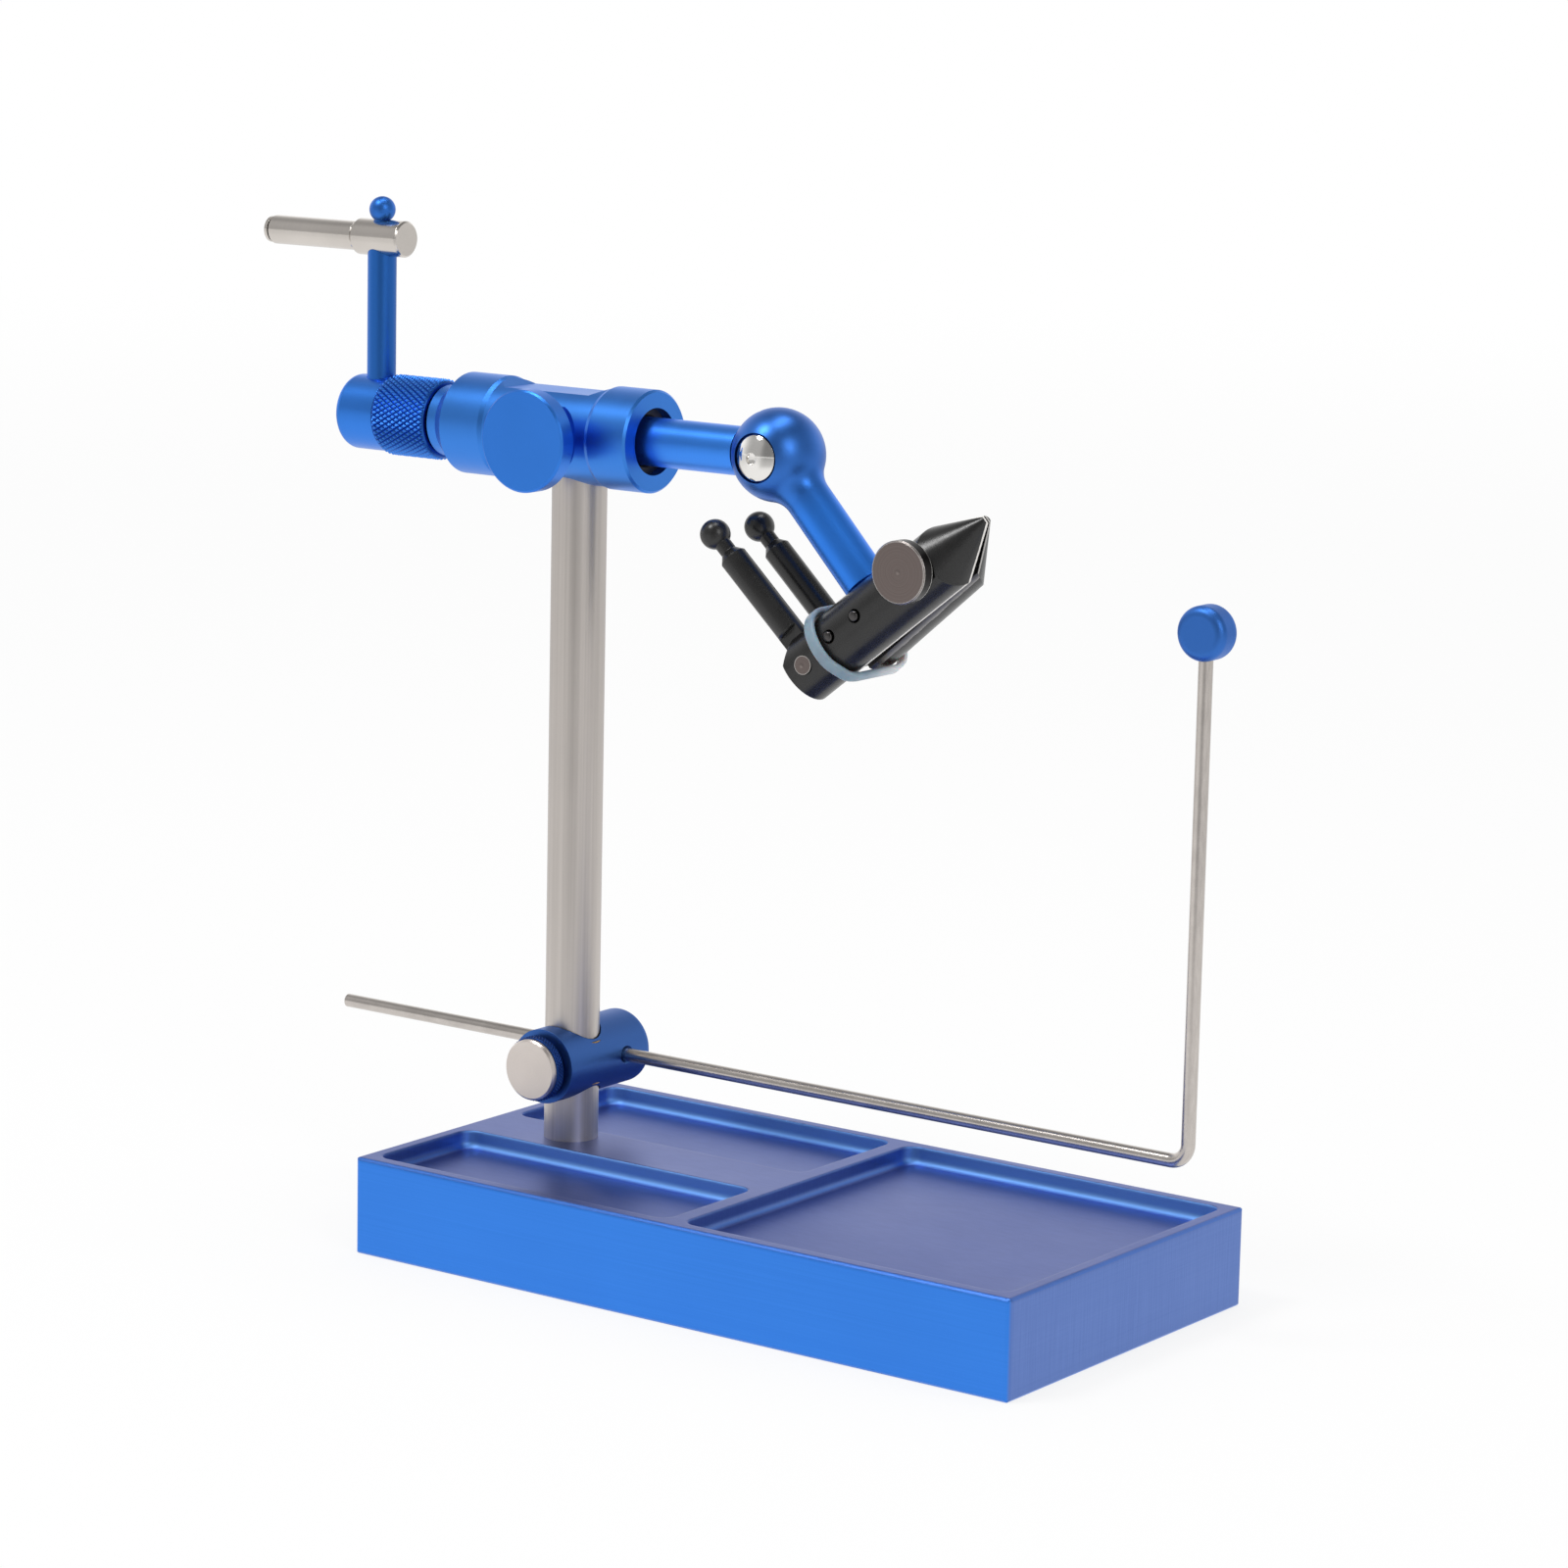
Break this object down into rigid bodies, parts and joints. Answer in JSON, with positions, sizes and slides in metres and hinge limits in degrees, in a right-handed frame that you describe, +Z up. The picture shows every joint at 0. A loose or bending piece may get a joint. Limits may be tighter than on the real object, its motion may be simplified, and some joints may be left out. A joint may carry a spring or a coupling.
{
  "type": "fly tying vise",
  "caption": "Rotary fly tying vise on a pedestal base with tray recesses, a cranked rotary head, lever-clamped jaws and an adjustable bobbin rest.",
  "frame": {"origin": "centre of the underside of the base, on the table", "axes": "+X along the base towards the jaws, +Y to the back, +Z up"},
  "size_m": [0.248, 0.09, 0.2253],
  "materials": {
    "blue_anodised": "satin anodised",
    "dark_blue_anodised": "knurled anodised",
    "stainless": "satin",
    "black_oxide": "black oxide",
    "dark_polymer": "matte",
    "bronze": "machined",
    "milky_elastic": "translucent"
  },
  "bodies": {
    "stand": {"base": "blue_anodised", "post": "stainless", "post_bolt": "black_oxide", "housing": "blue_anodised", "front_bush": "dark_polymer", "rear_bush": "bronze", "tension_plug": "bronze"},
    "rotor": {"knurled_collar": "blue_anodised", "collar_grub_screw": "black_oxide", "rotary_shaft": "blue_anodised", "crank_hub": "blue_anodised", "crank_arm": "blue_anodised", "crank_ball": "blue_anodised", "handle_spindle": "stainless", "handle_retaining_ring": "stainless"},
    "handle": {"handle_sleeve": "stainless"},
    "tension_knob": {"tension_knob": "blue_anodised"},
    "arm": {"head_arm": "blue_anodised", "joint_screw": "stainless", "joint_nut": "stainless", "jaw_pin": "stainless", "guide_pin": "stainless", "jaw_band": "milky_elastic"},
    "jaw_front": {"jaw_front": "black_oxide", "lever_pin_front": "stainless"},
    "jaw_rear": {"jaw_rear": "black_oxide", "lever_pin_rear": "stainless"},
    "clamp_screw": {"jaw_clamp_screw": "stainless"},
    "lever_front": {"lever_front": "black_oxide"},
    "lever_rear": {"lever_rear": "black_oxide"},
    "clamp_sleeve": {"bobbin_clamp_sleeve": "bronze"},
    "bobbin_clamp": {"bobbin_clamp_body": "blue_anodised"},
    "rod": {"bobbin_rod": "stainless", "bobbin_rest_disc": "blue_anodised"},
    "thumb_screw": {"thumb_screw": "stainless", "thumb_ring": "dark_blue_anodised"}
  },
  "joints": [
    {"name": "rotary_spin", "type": "hinge", "parent": "stand", "child": "rotor", "pos_m": [-0.072, 0, 0.1774], "axis": [1, 0, 0], "continuous": true},
    {"name": "handle_spin", "type": "hinge", "parent": "rotor", "child": "handle", "pos_m": [-0.136, 0, 0.2162], "axis": [1, 0, 0], "continuous": true},
    {"name": "tension_knob_turn", "type": "hinge", "parent": "stand", "child": "tension_knob", "pos_m": [-0.061, -0.014, 0.1774], "axis": [0, -1, 0], "range_deg": [-180, 180]},
    {"name": "arm_tilt", "type": "hinge", "parent": "rotor", "child": "arm", "pos_m": [-0.0082, 0, 0.1774], "axis": [0, 1, 0], "range_deg": [-40, 30]},
    {"name": "jaw_front_rock", "type": "hinge", "parent": "arm", "child": "jaw_front", "pos_m": [0.03175, -0.00148, 0.15782], "axis": [0.6361, 0, -0.7716], "range_deg": [0, 1.2]},
    {"name": "jaw_rear_rock", "type": "hinge", "parent": "arm", "child": "jaw_rear", "pos_m": [0.03175, 0.00148, 0.15782], "axis": [-0.6361, 0, 0.7716], "range_deg": [0, 1.2]},
    {"name": "lever_front_swing", "type": "hinge", "parent": "jaw_front", "child": "lever_front", "pos_m": [0.00768, -0.00739, 0.13578], "axis": [0.0591, -0.9971, 0.0487], "range_deg": [0, 70]},
    {"name": "lever_rear_swing", "type": "hinge", "parent": "jaw_rear", "child": "lever_rear", "pos_m": [0.00641, 0.00739, 0.13732], "axis": [-0.0591, -0.9971, -0.0487], "range_deg": [0, 70]},
    {"name": "jaw_screw_turn", "type": "hinge", "parent": "jaw_rear", "child": "clamp_screw", "pos_m": [0.03175, -0.008, 0.15782], "axis": [0, -1, 0], "range_deg": [-180, 180]},
    {"name": "bobbin_clamp_slide", "type": "slide", "parent": "stand", "child": "clamp_sleeve", "axis": [0, 0, 1], "range_m": [-0.009, 0.078]},
    {"name": "bobbin_clamp_swivel", "type": "hinge", "parent": "clamp_sleeve", "child": "bobbin_clamp", "pos_m": [-0.061, 0, 0.0391], "axis": [0, 0, 1], "continuous": true},
    {"name": "rod_slide", "type": "slide", "parent": "bobbin_clamp", "child": "rod", "axis": [1, 0, 0], "range_m": [-0.035, 0.06]},
    {"name": "thumb_screw_turn", "type": "hinge", "parent": "bobbin_clamp", "child": "thumb_screw", "pos_m": [-0.061, -0.011, 0.0391], "axis": [0, -1, 0], "range_deg": [-180, 180]}
  ],
  "couplings": [
    {"joint": "jaw_front_rock", "follows": "lever_front_swing", "ratio": 0.017143},
    {"joint": "jaw_rear_rock", "follows": "lever_rear_swing", "ratio": 0.017143}
  ]
}
